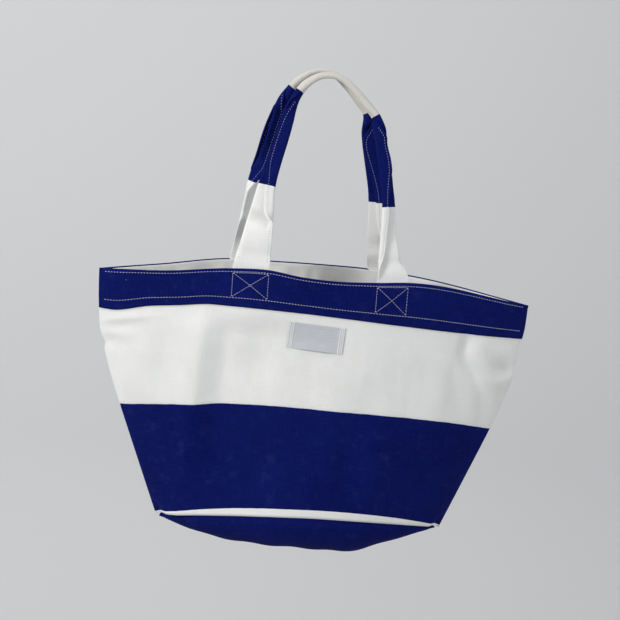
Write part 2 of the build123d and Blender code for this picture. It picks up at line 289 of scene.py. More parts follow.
def folds(x, z, side):
    """How far the cloth stands out from the plain lens: the left ridge, the right fold, the nip at
    the right side, the creases beside the left seam and slow waves, all in millimetres."""
    below_hem = ramp(-z, 44, 75)
    free = ramp(-z, 30, 110) * ramp(-z, 292, 240)
    if side > 0:
        x = -x
    left_line = -124 - 13 * np.clip((-z - 80) / 190, 0, 1)
    beside = x - left_line
    left = (2.2 + 3.4 * below_hem) * soft_corner(beside, 6, 34) * ramp(-z, 20, 60)
    left -= 5.4 * below_hem * ramp(-z, 262, 205) * (ramp(beside, -4, 30) - ramp(beside, 50, 170))
    left -= 1.4 * below_hem * (ramp(beside, -4, 24) - ramp(beside, 24, 130))
    valley_line = line_through(-z, VALLEY)
    valley = ramp(-z, 48, 70) * (1 - 0.75 * ramp(-z, 80, 165)) * ramp(-z, 250, 180)
    right = -3.4 * valley * hill(x - valley_line, 7) + 1.6 * valley * hill(x - valley_line - 19, 10)
    right += 2.6 * ramp(-z, 120, 190) * soft_corner(x - 166 + 0.04 * (z + 150), 7, 30)
    nip = -5.0 * hill(x - 231, 20) * hill(z + 100 + 0.35 * (x - 231), 6)
    nip += 2.4 * hill(x - 222, 22) * hill(z + 117 + 0.2 * (x - 231), 9)
    nip += 1.8 * hill(x - 218, 24) * hill(z + 83 + 0.3 * (x - 231), 8)
    creases = 1.5 * hill(x + 208, 30) * hill(z + 66 - 0.2 * (x + 208), 3.6)
    creases -= 1.4 * hill(x + 216, 26) * hill(z + 75 - 0.15 * (x + 208), 4.5)
    creases += 1.1 * hill(x + 226, 20) * hill(z + 85, 4.0)
    creases -= 2.0 * hill(x + 236, 12) * hill(z + 94, 6)
    seed = 5 if side < 0 else 11
    slow = 1.15 * waves(x, z, seed) + 0.34 * waves(x, z, seed + 1, 12, 16, 36)
    hem_waves = 0.35 * np.sin(x / 13 + 1.3 * np.sin(x / 41)) * ramp(-z, 2, 14) * ramp(-z, 60, 40)
    return left + right + nip + creases + slow * free + hem_waves


def side_nips(z, u):
    """How far the side seams move: a small bulge over a dent on the left, two dents on the right."""
    left = (2.8 * hill(z + 96, 5) - 1.0 * hill(z + 76, 11)) * ramp(-u, 0.8, 1)
    right = (3.4 * hill(z + 100, 6) + 2.6 * hill(z + 76, 16)) * ramp(u, 0.82, 1)
    return left - right


def seam_lines(v):
    """Steps where pieces are sewn together: the hem band lies 0.8 mm proud, and the two joins of
    the lower bands are narrow grooves."""
    hem = 0.8 * (v < HEM_AT)
    band = -0.5 * hill(v - BAND_AT, 0.9)
    stripe = -0.4 * hill(v - STRIPE_AT, 0.8)
    return hem + band + stripe


def body_point(u, v, side, inset=0.0):
    """Point u across (-1 to 1) and v down the cloth, moved inwards by inset millimetres."""
    z = cloth_height(u, np.clip(v, 0, None), side)
    x, y = plain_body(u, z, side)
    near, step = np.clip(u - 0.002, -1, 1), np.clip(u + 0.002, -1, 1)
    x0, y0 = plain_body(near, z, side)
    x1, y1 = plain_body(step, z, side)
    along = np.hypot(x1 - x0, y1 - y0)
    out_x, out_y = side * -(y1 - y0) / along, side * (x1 - x0) / along
    turned_in = 1.8 * ramp(v, cloth_end(u) - 2.4, cloth_end(u))
    inset = np.minimum(inset, 0.8 * np.abs(y))
    steps = seam_lines(v) * (np.max(inset) == 0)
    proud = folds(x, z, side) * (1 - np.abs(u) ** 30) + steps - turned_in - inset
    return np.stack([x + out_x * proud + side_nips(z, u), y + out_y * proud, z], -1)


print("rim half width", half_width(np.array(-15.0), 1.0), "base", half_width(np.array(-289.0), 1.0))

# %% [markdown]
# ## Front and back panels
# A panel's top edge is turned over into the bag, so its rows start inside, climb over a round of
# 1.9 mm and run down the outside. Columns crowd near the side seams, where the lens turns fastest.

# %% Panels
ROLL = 1.9
side_columns = 1 - np.array([0.0, 0.0006, 0.0022, 0.005, 0.009])
ACROSS = np.concatenate([-side_columns, np.linspace(-0.985, 0.985, 197), side_columns[::-1]])


def rim_roll(side, columns):
    """Rows over the rim: a half circle of 1.9 mm between the inside and the outside of the cloth.
    Returns points and places on the cloth."""
    turn = np.linspace(0, np.pi, 9)
    inset = np.concatenate([[3.0, 3.0], 3.0 - ROLL + ROLL * np.cos(turn)])
    lift = np.concatenate([[-9, -5], ROLL * np.sin(turn) - ROLL])
    rows = []
    for moved_in, raised in zip(inset, lift):
        row = body_point(columns, np.zeros_like(columns), side, moved_in)
        row[:, 2] += raised
        rows.append(row)
    down = np.concatenate([[-12.0, -8.0], -ROLL * np.pi + ROLL * turn + 0.4])
    return np.array(rows), down


def cloth_across(points):
    """Distance across the cloth from its middle, measured along each row."""
    steps = np.linalg.norm(np.diff(points[..., :2], axis=1), axis=2)
    across = np.hstack([np.zeros((len(points), 1)), np.cumsum(steps, axis=1)])
    return across - across[:, [across.shape[1] // 2]]


def make_panel(name, side):
    """One panel in a single sheet: over the rim, down the two bands and through the stripe, with
    rows crowded at the joins."""
    bands = (
        (ROLL, HEM_AT - 0.15, 17),
        (HEM_AT + 0.15, BAND_AT - 1.2, 40),
        (BAND_AT - 0.8, BAND_AT + 0.8, 5),
        (BAND_AT + 1.2, STRIPE_AT - 1.1, 38),
    )
    down = np.concatenate([np.linspace(*band) for band in bands])
    u, v = np.meshgrid(ACROSS, down)
    outside = body_point(u, v, side)
    stripe_depth = stripe_line(ACROSS) - seam_line(ACROSS)
    share = np.concatenate([np.linspace(0, 0.75, 7), [0.85, 0.93, 1.0]])[:, None]
    stripe_v = STRIPE_AT - 0.7 + share * (stripe_depth + 0.7)
    lower = body_point(np.broadcast_to(ACROSS, stripe_v.shape), stripe_v, side)
    roll, roll_v = rim_roll(side, ACROSS)
    points = np.concatenate([roll, outside, lower])
    roll_grid = np.broadcast_to(roll_v[:, None], roll.shape[:2])
    cloth = np.stack([cloth_across(points), -np.concatenate([roll_grid, v, stripe_v])], -1)
    return grid_object(name, points, cloth, flip=side < 0)


SHEET = 1.2  # thickness of the canvas
panels = {"front": make_panel("front_canvas", -1), "back": make_panel("back_canvas", 1)}
for panel in panels.values():
    thicken(panel, SHEET)

# %% [markdown]
# ## The base
# The base is a pointed oval of cloth sewn to the panels' lower edges. With nothing in the bag it
# hangs through like a boat's hull. Across the bag its section is half an ellipse, and along the
# bag its keel line goes down and up again in slow waves.

# %% Base
KEEL = [
    *((-1, -294), (-0.83, -302), (-0.63, -310.5), (-0.4, -316.5), (-0.2, -318.8), (0.0, -320.5)),
    *((0.17, -321.5), (0.29, -323.5), (0.4, -320.5), (0.53, -313.5), (0.65, -307)),
    *((0.83, -298.5), (1, -292.5)),
]


def base_point(u, w):
    """Point of the base: u from corner to corner, w from the front seam (-1) to the back (1)."""
    seam = seam_line(0.97 * u) - 0.3
    x, y = plain_body(0.97 * u, seam, 1)
    y = y * np.sqrt(np.clip(1 - u**16, 0, 1))
    sag = np.clip(seam - line_through(0.97 * u, KEEL), 0.2, None)
    angle = w * np.pi / 2
    narrow = 1 - 0.035 * ramp(np.abs(w), 0.93, 1)
    depth = np.cos(angle) ** 0.8
    ripple = 1 + 0.018 * np.sin(u * 21 + 2 * w) * ramp(np.abs(w), 1.0, 0.7)
    x = x * (1 - 0.012 * np.abs(w) ** 8)
    return np.stack([x, y * np.sin(angle) * narrow, seam - sag * depth * ripple], -1)


base_u = np.concatenate([-side_columns, np.linspace(-0.98, 0.98, 150), side_columns[::-1]])
base_w = np.sin(np.linspace(-1, 1, 61) * np.pi / 2)
u, w = np.meshgrid(base_u, base_w)
base_points = base_point(u, w)
base_steps = np.diff(base_points, axis=0, prepend=base_points[:1])
down_cloth = np.cumsum(np.linalg.norm(base_steps, axis=2), axis=0)
base_cloth = np.stack([base_points[..., 0], down_cloth], -1)
base = thicken(grid_object("base_canvas", base_points, base_cloth, flip=True), SHEET)

# %% [markdown]
# ## Inner band, tapes and label
# The band inside the rim is a second layer of plain white cloth, sewn on with the two rows round
# the rim. Tapes cover the raw edges inside the bag. The label is a small piece of satin, sewn on
# by a dense strip of thread at each end.

# %% Inner band
FACING_TOP, FACING_BOTTOM = 1.1, 42.5


def make_facing(name, side):
    """Inner band: the panel's surface moved in by 4.6 mm, with a wavy drape between the rows."""
    down = np.linspace(FACING_TOP, FACING_BOTTOM, 24)
    columns = np.linspace(-0.95, 0.95, 190)
    u, v = np.meshgrid(columns, down)
    drape = 1.1 * np.sin(u * 61 + 2.2 * np.sin(u * 17)) * ramp(v, 3, 16)
    drape += 0.5 * np.sin(u * 29 + 1) * ramp(v, 3, 20)
    points = body_point(u, v, side, 0.0)
    inner = body_point(u, v, side, 4.6)
    direction = (inner - points) / np.linalg.norm(inner - points, axis=2)[..., None]
    inner = inner + direction * (np.clip(drape, -0.4, 2) + 0.4)[..., None]
    cloth = np.stack([cloth_across(inner), -v], -1)
    return thicken(grid_object(name, inner, cloth, flip=side > 0), SHEET, 0.35)


facings = {"front": make_facing("front_inner_band", -1), "back": make_facing("back_inner_band", 1)}

# %% Tapes over the inner seams
def close_ends(piece):
    """Fill the open ends of a tube and turn every face outwards."""
    work = bmesh.new()
    work.from_mesh(piece.data)
    bmesh.ops.holes_fill(work, edges=[edge for edge in work.edges if edge.is_boundary], sides=0)
    bmesh.ops.recalc_face_normals(work, faces=work.faces)
    work.to_mesh(piece.data)
    work.free()


def tube_object(name, rings, around, along):
    """Closed tube through a (stations, places, 3) grid of rings. On the flat cloth, place i lies at
    around[i] and station j at along[j]. The last value of around is the first place again."""
    count, places = rings.shape[:2]
    cloth = np.stack(np.broadcast_arrays(around[None, :], along[:, None]), -1).reshape(-1, 2)
    uv = cloth[grid_faces(count, places + 1).ravel()] / 1000
    faces = grid_faces(count, places, loop=True).tolist()
    piece = mesh_object(name, rings.reshape(-1, 3), faces, uv)
    close_ends(piece)
    return piece


def distance_along(path):
    """Distance of every point from the first, measured along the path."""
    steps = np.linalg.norm(np.diff(path, axis=0), axis=1)
    return np.concatenate([[0], np.cumsum(steps)])


def tube_along(name, path, across, out, half_wide, half_thick, places=16):
    """Flat tape along a path: at each point an oval with its long axis across and its short axis
    out."""
    turn = np.linspace(0, 2 * np.pi, places, endpoint=False)
    cos, sin = np.cos(turn), np.sin(turn)
    wide = np.sign(cos) * np.abs(cos) ** 0.5 * half_wide
    thick = np.sign(sin) * np.abs(sin) ** 0.7 * half_thick
    rings = path[:, None] + across[:, None] * wide[:, None] + out[:, None] * thick[:, None]
    around = np.linspace(0, 1, places + 1) * 4 * half_wide
    return tube_object(name, rings, around, distance_along(path))


def unit(vectors):
    """The vectors at length 1."""
    return vectors / np.linalg.norm(vectors, axis=-1, keepdims=True)


TAPE = (4.5, 0.8)  # half width and half thickness


def side_tape(name, way):
    """Tape down the inside of a side seam, from below the inner band to just above the base."""
    heights = np.linspace(-66, -262, 60)
    from_middle = half_width(heights, way) - 10.5 - 2.6 * hill(heights + 98, 9)
    path = np.stack([way * from_middle, 0.5 * np.sin(heights / 19), heights], -1)
    slope = unit(np.gradient(path, axis=0))
    out = np.tile([0.0, 1.0, 0.0], (len(path), 1))
    across = np.cross(out, slope)
    return tube_along(name, path, across, out, *TAPE)


def base_tape(name):
    """Tape round the inside of both panels, 8 mm above the base seam."""
    columns = np.linspace(-0.93, 0.93, 120)
    front = body_point(columns, cloth_end(columns) - 8, -1, 3.2)
    back = body_point(columns[::-1], cloth_end(columns) - 8, 1, 3.2)
    path = np.concatenate([front, back])
    path = np.concatenate([path, path[:1]])
    slope = unit(np.gradient(path, axis=0))
    across = np.tile([0.0, 0.0, 1.0], (len(path), 1))
    out = unit(np.cross(slope, across))
    return tube_along(name, path, across, out, *TAPE)


tapes = {
    "left_seam_binding": side_tape("left_tape", -1),
    "right_seam_binding": side_tape("right_tape", 1),
    "base_seam_binding": base_tape("base_tape"),
}

# %% Label
LABEL_HALF = np.array([31.0, 14.5])
LABEL_PLACE = np.array([-2.0, -69.0])
LABEL_TURN = np.radians(-3.6)


def on_front(x, z, lift):
    """Point of the front's outside at x and z, with its unit normal, lifted off the cloth."""
    def surface(px, pz):
        u = px / half_width(pz, px / 220)
        sx, sy = plain_body(u, pz, -1)
        return np.stack([sx, sy - folds(sx, pz, -1), pz], -1)

    rightwards = surface(x + 0.4, z) - surface(x - 0.4, z)
    upwards = surface(x, z + 0.4) - surface(x, z - 0.4)
    normal = unit(np.cross(rightwards, upwards))
    return surface(x, z) + normal * np.asarray(lift)[..., None], normal


def on_label(a, b, lift):
    """Point of the label's face: a along it and b up it, from its middle."""
    x = LABEL_PLACE[0] + a * np.cos(LABEL_TURN) - b * np.sin(LABEL_TURN)
    z = LABEL_PLACE[1] + a * np.sin(LABEL_TURN) + b * np.cos(LABEL_TURN)
    curl = 0.9 * ramp(b, -4, -14.5) * ramp(np.abs(a), 26, 12) + 0.25 * np.cos(a / 7)
    return on_front(x, z, lift + curl)


label_across = np.linspace(-1, 1, 90) * LABEL_HALF[0]
label_up = np.linspace(-1, 1, 44) * LABEL_HALF[1]
a, b = np.meshgrid(label_across, label_up)
label_points, _ = on_label(a, b, 0.75)
label = thicken(grid_object("woven_label", label_points, np.stack([a, b], -1)), 0.45, 0.15)
print("label box", label.bound_box[0][:], label.bound_box[6][:])

# %% [markdown]
# ## Handles
# One handle is a single long strap. At the rim it is flat, 38 mm wide. Going up, its inner edge is
# folded over to the outside and its outer edge under, so the strap gets narrower, and at the top
# it is rolled round a soft cord. The section is a band whose direction turns along its width:
# integrating the direction gives its middle line, so the cloth keeps its width while it folds.
# The section is then fitted to the width that the strap has at that height.

# %% Paths of the handles
# A leg's rows give the height and the x of the strap's two outlines there. The crown's rows give x,
# height and width. The drift is how far the back handle stands beside the front one, by height.
LEFT_LEG = [
    *((-40, -97, -58), (0, -97.5, -57.8), (30, -91, -57.5), (60, -84, -57.4), (92, -76.3, -57.6)),
    *((119, -68.2, -52.6), (140, -63, -47.6), (160, -57.6, -43.4), (174, -53.5, -41)),
    (190, -45.8, -36),
]
RIGHT_LEG = [
    *((-40, 60.3, 97), (0, 60.2, 95.5), (16, 60, 87), (40, 60, 80.6), (78, 59.7, 75.3)),
    *((112, 54.4, 69), (126, 51.5, 66.4), (143, 47.6, 61), (159, 44.3, 58.3), (174, 41, 50.8)),
]
CROWN = [
    *((-33.5, 201, 9.4), (-26, 207.3, 8.4), (-17, 212, 7.6), (-8, 213.6, 7.3), (1, 212.8, 7.4)),
    *((10, 208.8, 7.8), (19, 202, 8.4), (28, 193.5, 9), (36.5, 184.5, 9.6)),
]
DRIFT = [
    *((-40, -1), (0, -1.5), (45, -5.5), (85, -9), (120, -11.5), (152, -12)),
    *((178, -9.5), (198, -7), (214, -6)),
]
TURN = {-1: (-14.0, -14.0), 1: (-52.0, -22.0)}  # left and right leg, in degrees
HALF_BAND = 19.0
PLACES, CAP = 61, 5  # points across one face of the strap, and round one of its edges
WHITE_LEFT, WHITE_RIGHT = 92.0, 78.5  # lengths of the white parts, then of the blue ones
BLUE_LEFT, BLUE_RIGHT = 107.0, 99.5
STRAP_PLANE, CROWN_PLANE, RISE = 33.7, 5.4, 214  # y at the rim and at the top, and the height


def handle_stations(step=1.9):
    """Middle line and width of the strap, from the left sewn end over the crown to the right."""
    left = np.array(LEFT_LEG, float)
    right = np.array(RIGHT_LEG, float)[::-1]
    crown = np.array(CROWN, float)
    x = np.concatenate([left[:, 1:].mean(1), crown[:, 0], right[:, 1:].mean(1)])
    z = np.concatenate([left[:, 0], crown[:, 1], right[:, 0]])
    width = np.concatenate([left[:, 2] - left[:, 1], crown[:, 2], right[:, 2] - right[:, 1]])
    chord = distance_along(np.stack([x, z], -1))
    fine = np.linspace(0, chord[-1], 1200)
    fx = line_through(fine, np.stack([chord, x], -1))
    fz = line_through(fine, np.stack([chord, z], -1))
    fw = line_through(fine, np.stack([chord, width], -1))
    for _ in range(24):
        fx[1:-1] = (fx[:-2] + 2 * fx[1:-1] + fx[2:]) / 4
        fz[1:-1] = (fz[:-2] + 2 * fz[1:-1] + fz[2:]) / 4
    length = distance_along(np.stack([fx, fz], -1))
    even = np.linspace(0, length[-1], int(length[-1] / step))
    return (np.interp(even, length, value) for value in (fx, fz, fw, length))


path_x, path_z, path_width, path_length = handle_stations()
half = len(path_z) // 2
from_left = path_length - np.interp(0, path_z[:half], path_length[:half])
right_zero = np.interp(0, path_z[half:][::-1], path_length[half:][::-1])
from_right = right_zero - path_length
print("strap from rim to rim", right_zero - path_length[0], "stations", len(path_x))


INNER_FOLD = [
    *((-40, 0), (2, 0.0), (30, 3.5), (60, 5.0), (92, 7.0), (119, 10.5), (140, 12.0)),
    *((165, 10), (210, 8)),
]
OUTER_FOLD = [(-40, 0), (4, 0.0), (40, 4.2), (92, 7.6), (150, 8.4), (210, 8.0)]


def section(height, rolled, inner_late, outer_late):
    """Middle line of the strap's cross-section: a direction for every place on its width. One
    fold of half a turn near the inner edge, one near the outer edge, and when rolled, a full turn
    spread evenly. With inner_late or outer_late at 1, that fold starts 40 or 50 mm higher. Returns
    (stations, places) arrays across, out and direction, and the places."""
    q = np.linspace(-HALF_BAND, HALF_BAND, PLACES)[None, :]
    height = height[:, None]
    rolled = rolled[:, None]
    inner_late, outer_late = inner_late[:, None], outer_late[:, None]
    inner = line_through(height, INNER_FOLD)
    outer = line_through(height, OUTER_FOLD)
    inner_turn = np.radians(172) * ramp(height, 40 * inner_late, 40 * inner_late + 28)
    outer_turn = np.radians(168) * ramp(height, 2 + 50 * outer_late, 44 + 104 * outer_late)
    outer_fold = -HALF_BAND + outer + 2.4
    inner_fold = HALF_BAND - inner - 2.4
    direction = inner_turn * (1 - rolled) / (1 + np.exp(-(q - inner_fold) * 1.5))
    direction = direction + outer_turn / (1 + np.exp((q - outer_fold) * 1.5))
    mirrored = outer_fold + np.abs(q - outer_fold)
    tube = HALF_BAND - outer_fold
    direction = direction + rolled * 2 * np.pi * ((mirrored - outer_fold) / tube - 0.5)
    step = q[0, 1] - q[0, 0]
    across = np.cumsum(np.cos(direction), axis=1) * step
    out = np.cumsum(np.sin(direction), axis=1) * step
    return across, out, direction, q


def make_handle(name, side):
    """The strap carried along its path. It leans in from the rim to the crown."""
    is_back = side > 0
    on_right = np.arange(len(path_z)) > len(path_z) // 2
    upper_right = on_right * ramp(path_z, 50, 100)
    drift = line_through(path_z, DRIFT) + 3.5 * upper_right * ramp(path_z, 205, 165)
    x = path_x + drift * is_back
    z = path_z + 3.4 * ramp(path_z, 20, 200) * is_back
    width = path_width * (1 + 0.24 * upper_right * ramp(path_z, 180, 150) * is_back)
    lean = (STRAP_PLANE - CROWN_PLANE) / RISE
    y = side * (STRAP_PLANE - lean * np.clip(z, -40, RISE))
    path = np.stack([x, y, z], -1)
    along = unit(np.gradient(path, axis=0))
    outward = np.stack([np.zeros_like(x), side * np.ones_like(x), np.full_like(x, lean)], -1)
    outward = unit(outward - (outward * along).sum(1)[:, None] * along)
    inner = -np.cross(along, outward) * side
    nearest = np.minimum(from_left, from_right)
    reach = np.where(from_left < from_right, WHITE_LEFT + BLUE_LEFT, WHITE_RIGHT + BLUE_RIGHT)
    rolled = ramp(nearest, reach - 34, reach + 4)
    inner_late, outer_late = np.where(on_right, 0.0, 1.0), np.where(on_right, 0.0, is_back)
    a_mid, out_mid, direction, q = section(nearest, rolled, inner_late, outer_late)

    # Outline of the section: one face, round an edge, back along the other face, round the other
    thick = (0.8 + 0.45 * ramp(z, 2, 30) - 0.35 * rolled)[:, None]
    closing = np.linspace(0, np.pi, CAP + 2)[1:-1]
    parts = (
        (slice(None), 0),
        (slice(-1, None), -closing),
        (slice(None, None, -1), np.pi),
        (slice(0, 1), -np.pi - closing),
    )
    loop_a = [a_mid[:, at] - np.sin(direction[:, at] + turned) * thick for at, turned in parts]
    loop_o = [out_mid[:, at] + np.cos(direction[:, at] + turned) * thick for at, turned in parts]
    loop_a, loop_o = np.hstack(loop_a), np.hstack(loop_o)
    loop_o = loop_o - loop_o[:, [PLACES // 2]]

    # Twist it, then fit it to the strap's width and, where rolled, to a round
    left_turn, right_turn = np.radians(TURN[side])
    twist = np.where(on_right, right_turn, left_turn) * ramp(nearest, 8, 60) * (1 - rolled)
    twist = twist + np.radians(75) * ramp(nearest, reach - 25, reach + 35)
    cos, sin = np.cos(twist)[:, None], np.sin(twist)[:, None]
    loop_a, loop_o = loop_a * cos + loop_o * sin, loop_o * cos - loop_a * sin
    high, low = loop_a.max(1, keepdims=True), loop_a.min(1, keepdims=True)
    loop_a = (loop_a - (high + low) / 2) * (width[:, None] / (high - low))
    tall, short = loop_o.max(1, keepdims=True), loop_o.min(1, keepdims=True)
    squeeze = 1 + rolled[:, None] * (width[:, None] / (tall - short) - 1)
    middle = (tall + short) / 2 * ramp(nearest, 0, 50)[:, None]
    loop_o = (loop_o - middle) * squeeze
    points = path[:, None] + inner[:, None] * loop_a[..., None] + outward[:, None] * loop_o[..., None]

    # Below the rim the strap follows the panel's inside
    sewn = ramp(-points[..., 2], -20, -1)
    across = np.clip(points[..., 0] / PANEL_HALF, -1, 1)
    cloth_in = body_point(across, np.clip(-points[..., 2], 0, 42), side, 2.15)
    points[..., 1] += sewn * (cloth_in[..., 1] - path[:, None, 1])
    edge = np.full(CAP, HALF_BAND)
    around = np.concatenate([q[0], edge, q[0][::-1] + 60, -edge, q[0, :1]])
    piece = tube_object(name, points, around, from_left)
    print(name, len(piece.data.polygons), "faces")
    rows = {"points": points, "along": along, "nearest": nearest, "reach": reach}
    return piece, rows


handles = {"front": make_handle("front_strap", -1), "back": make_handle("back_strap", 1)}


# %% The soft cord inside each grip
CORD_HALF = 2.1


def make_cord(name, rows, side):
    """Round cord along the middle of the rolled part of the strap."""
    inside = rows["nearest"] > rows["reach"] + 3
    path = rows["points"][inside].mean(1)
    slope = unit(np.gradient(path, axis=0))
    facing = np.array([0.0, side, 0.0])
    out = unit(facing - slope * (slope * facing).sum(1)[:, None])
    return tube_along(name, path, np.cross(out, slope), out, CORD_HALF, CORD_HALF)


SIDES = (("front", -1), ("back", 1))
cords = {side: make_cord(f"{side}_cord", handles[side][1], way) for side, way in SIDES}

# %% [markdown]
# ## Thread
# Each stitch is its own small piece of thread, sunk at both ends into the cloth. All the stitches
# of a row are one mesh: a small bead is copied to every place with one numpy expression.

# %% Stitches
def bead(rings=4, sides=6):
    """Unit stitch: a spindle along x, one long, whose ends dip into the cloth."""
    s = np.linspace(0, 1, rings + 2)[1:-1]
    swell = np.sin(np.pi * s) ** 0.6
    turn = np.linspace(0, 2 * np.pi, sides, endpoint=False)
    ring = np.stack([np.zeros(sides), np.cos(turn), np.sin(turn)], -1)
    body = ring[None] * swell[:, None, None] + np.stack([s - 0.5, 0 * s, 0.5 * swell - 0.6], -1)[:, None]
    points = np.vstack([body.reshape(-1, 3), [[-0.5, 0, -0.9], [0.5, 0, -0.9]]])
    quads = grid_faces(rings, sides, loop=True)[:, ::-1].tolist()
    first, last = rings * sides, rings * sides + 1
    caps = [[first, k, (k + 1) % sides] for k in range(sides)]
    top = (rings - 1) * sides
    caps += [[last, top + (k + 1) % sides, top + k] for k in range(sides)]
    return points, quads, caps


def stitches(name, parts, length, width, lift, seed):
    """One bead at every centre, laid along its tangent and standing out along its normal; a part
    is (centres, tangents, normals). Lengths and directions vary slightly, as sewn by a machine
    that feeds heavy cloth."""
    centres, tangents, normals = (np.concatenate(values) for values in zip(*parts))
    random = np.random.default_rng(seed)
    shape, quads, caps = bead()
    count = len(centres)
    normals = unit(normals - (normals * tangents).sum(1)[:, None] * tangents)
    sideways = np.cross(normals, tangents)
    tangents = unit(tangents + sideways * random.normal(0, 0.05, (count, 1)))
    sideways = np.cross(normals, tangents)
    longer = length * (1 + random.normal(0, 0.05, (count, 1, 1)))
    points = (
        centres[:, None]
        + tangents[:, None] * shape[None, :, :1] * longer
        + sideways[:, None] * shape[None, :, 1:2] * width / 2
        + normals[:, None] * shape[None, :, 2:] * lift
    )
    offsets = np.arange(count) * len(shape)
    faces = []
    for group in (quads, caps):
        faces += np.add.outer(offsets, np.array(group)).reshape(-1, len(group[0])).tolist()
    print(name, count, "stitches")
    return mesh_object(name, points.reshape(-1, 3), faces)


def along_cloth(ends, side, pitch):
    """Stitch places along a straight line on the panel, between two points (x, v)."""
    (x0, v0), (x1, v1) = ends
    length = np.hypot(x1 - x0, v1 - v0)
    count = max(2, int(round(length / pitch)))
    share = (np.arange(count) + 0.5) / count
    return panel_places(x0 + (x1 - x0) * share, v0 + (v1 - v0) * share, side, (x1 - x0, v1 - v0))


def panel_places(x, v, side, course):
    """Centres, tangents and normals on the panel's outside at x and v down the cloth."""
    u = x / PANEL_HALF
    middle = body_point(u, v, side)
    ahead, behind = np.clip(u + 0.001, -1, 1), np.clip(u - 0.001, -1, 1)
    du = body_point(ahead, v, side) - body_point(behind, v, side)
    dv = body_point(u, v + 0.3, side) - body_point(u, v - 0.3, side)
    normal = unit(np.cross(du, dv)) * np.where(side < 0, 1, -1)
    normal = normal * np.sign((normal[:, 1] * side).mean())
    tangent = unit(du / (0.002 * PANEL_HALF) * course[0] + dv / 0.6 * course[1])
    return middle, tangent, normal


ROW_PITCH, BOX_PITCH, STRAP_PITCH = 3.2, 2.9, 3.0
TOP_ROW, LOWER_ROW = 3.4, 33.0  # depth of the two rows round the rim
row_x = np.linspace(-234, 234, int(468 / ROW_PITCH))
STRAP_EDGES = ((-97.0, -58.5), (60.8, 95.2))


def rim_row(name, v, seed):
    """One row of stitches round the whole rim, v down the cloth."""
    parts = [panel_places(row_x, np.full_like(row_x, v), side, (1, 0)) for side in (-1, 1)]
    return stitches(name, parts, 2.4, 0.62, 0.36, seed)


def box_rows(name, side, seed):
    """A crossed box of stitches under each end of a strap. The lower row closes the box."""
    top, bottom = TOP_ROW + 1.2, LOWER_ROW - 1.0
    parts = []
    for left, right in STRAP_EDGES:
        lines = (
            ((left, top), (left, bottom)),
            ((right, top), (right, bottom)),
            ((left, top), (right, bottom)),
            ((right, top), (left, bottom)),
            ((left, top), (right, top)),
        )
        parts += [along_cloth(line, side, BOX_PITCH) for line in lines]
    return stitches(name, parts, 2.2, 0.55, 0.34, seed)


thread = {
    "rim_top_stitching": rim_row("top_row", TOP_ROW, 1),
    "rim_lower_stitching": rim_row("lower_row", LOWER_ROW, 2),
    "front_box_stitching": box_rows("front_boxes", -1, 3),
    "back_box_stitching": box_rows("back_boxes", 1, 4),
}


EDGE_ROW = 16.3  # distance of the rows on the strap from its middle


def strap_rows(name, rows, side, seed):
    """Two rows down each leg, on both faces of the strap, near its edges."""
    points, along, nearest = rows["points"], rows["along"], rows["nearest"]
    parts = []
    q = np.linspace(-HALF_BAND, HALF_BAND, PLACES)
    for other_face in (False, True):
        for edge in (-1, 1):
            column = int(np.argmin(np.abs(q - edge * EDGE_ROW)))
            if other_face:
                column = PLACES + CAP + (PLACES - 1 - column)
            line = points[:, column]
            beside = points[:, column + 1] - points[:, column - 1]
            normal = -unit(np.cross(beside, along)) * side
            length = distance_along(line)
            places = np.arange(2, length[-1] - 2, STRAP_PITCH)
            chosen = np.interp(places, length, np.arange(len(length)))
            low = np.floor(chosen).astype(int)
            part = (chosen - low)[:, None]
            spot = line[low] * (1 - part) + line[low + 1] * part
            free = (nearest[low] > 9) & (nearest[low] < rows["reach"][low] - 12)
            parts.append((spot[free], along[low][free], normal[low][free]))
    return stitches(name, parts, 2.1, 0.55, 0.3, seed)


thread["front_handle_stitching"] = strap_rows("front_strap_rows", handles["front"][1], -1, 5)
thread["back_handle_stitching"] = strap_rows("back_strap_rows", handles["back"][1], 1, 6)


def label_strips(name):
    """Dense zigzag of thread across each end of the label."""
    b = np.arange(-14.2, 14.3, 1.05)
    lift = np.full_like(b, 0.95)
    parts = []
    for way in (-1, 1):
        for offset in (-2.1, 0.0, 2.1):
            a = np.full_like(b, way * 27.8 + offset)
            shifted = b + 0.35 * offset / 2.1
            middle, normal = on_label(a, shifted, lift)
            ahead, _ = on_label(a + 0.5, shifted + 0.12, lift)
            parts.append((middle, unit(ahead - middle), normal))
    return stitches(name, parts, 2.5, 0.85, 0.4, 7)


thread["label_stitching"] = label_strips("label_rows")

# %% [markdown]
# ## Finishes
# Shader maths reads best as plain expressions, so a small class wraps a socket and gives it the
# usual operators. Each one adds a Math node.

# %% A socket that can be added and multiplied
class Value:
    """A node's output that can be used in an expression."""

    def __init__(self, tree, socket):
        self.tree, self.socket = tree, socket

    def math(self, operation, *others):
        inputs = dict(enumerate((self, *others)))
        return self.tree.node("ShaderNodeMath", {"operation": operation}, inputs)

    def __add__(self, other):
        return self.math("ADD", other)

    __radd__ = __add__

    def __mul__(self, other):
        return self.math("MULTIPLY", other)

    __rmul__ = __mul__

    def __sub__(self, other):
        return self.math("SUBTRACT", other)

    def __rsub__(self, other):
        return (self * -1) + other

    def __truediv__(self, other):
        return self.math("DIVIDE", other)

    def above(self, other):
        return self.math("GREATER_THAN", other)

    def below(self, other):
        return self.math("LESS_THAN", other)


